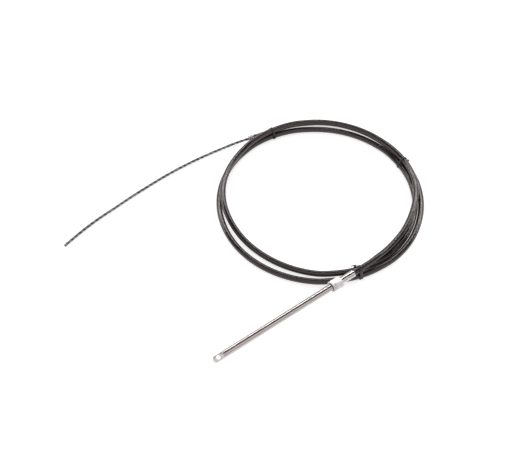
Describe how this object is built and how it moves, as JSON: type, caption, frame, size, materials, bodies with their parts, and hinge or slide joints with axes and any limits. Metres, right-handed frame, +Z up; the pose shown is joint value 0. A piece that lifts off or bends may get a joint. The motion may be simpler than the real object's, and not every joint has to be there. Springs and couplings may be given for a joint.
{
  "type": "boat steering cable",
  "caption": "Coiled mechanical steering cable: black jacket, bare wound core at the helm end, and a polished output rod with an eye and a hexagon coupling nut.",
  "frame": {"origin": "middle of the whole cable as it lies, on the floor it lies on", "axes": "+Z up; +X to the right along the longest side, from the core tip to the coil; +Y from the output rod towards the back of the coil"},
  "size_m": [0.8488, 0.721, 0.0391],
  "materials": {
    "sleeve_steel": "polished stainless tube",
    "guide_steel": "drawn stainless tube",
    "rod_steel": "mirror polished stainless",
    "rod_end_steel": "machined stainless",
    "nut_steel": "satin plated steel",
    "jacket": "satin black extruded plastic",
    "core_wire": "greased wound steel wire",
    "ferrule": "crimped steel",
    "tie": "moulded black nylon"
  },
  "bodies": {
    "cable": {"anchor_sleeve": "sleeve_steel", "guide_tube": "guide_steel", "jacket": "jacket", "core": "core_wire", "ferrule": "ferrule", "tie_left": "tie", "tie_right": "tie", "tie_rod_end": "tie"},
    "rod": {"rod_tube": "rod_steel", "rod_end": "rod_end_steel"},
    "nut": {"coupling_nut": "nut_steel"}
  },
  "joints": [
    {"name": "rod_slide", "type": "slide", "parent": "cable", "child": "rod", "axis": [-0.821, -0.5685, -0.0523], "range_m": [0, 0.229]},
    {"name": "nut_spin", "type": "hinge", "parent": "cable", "child": "nut", "pos_m": [0.19729, -0.1729, 0.02374], "axis": [-0.821, -0.5685, -0.0523], "continuous": true}
  ]
}
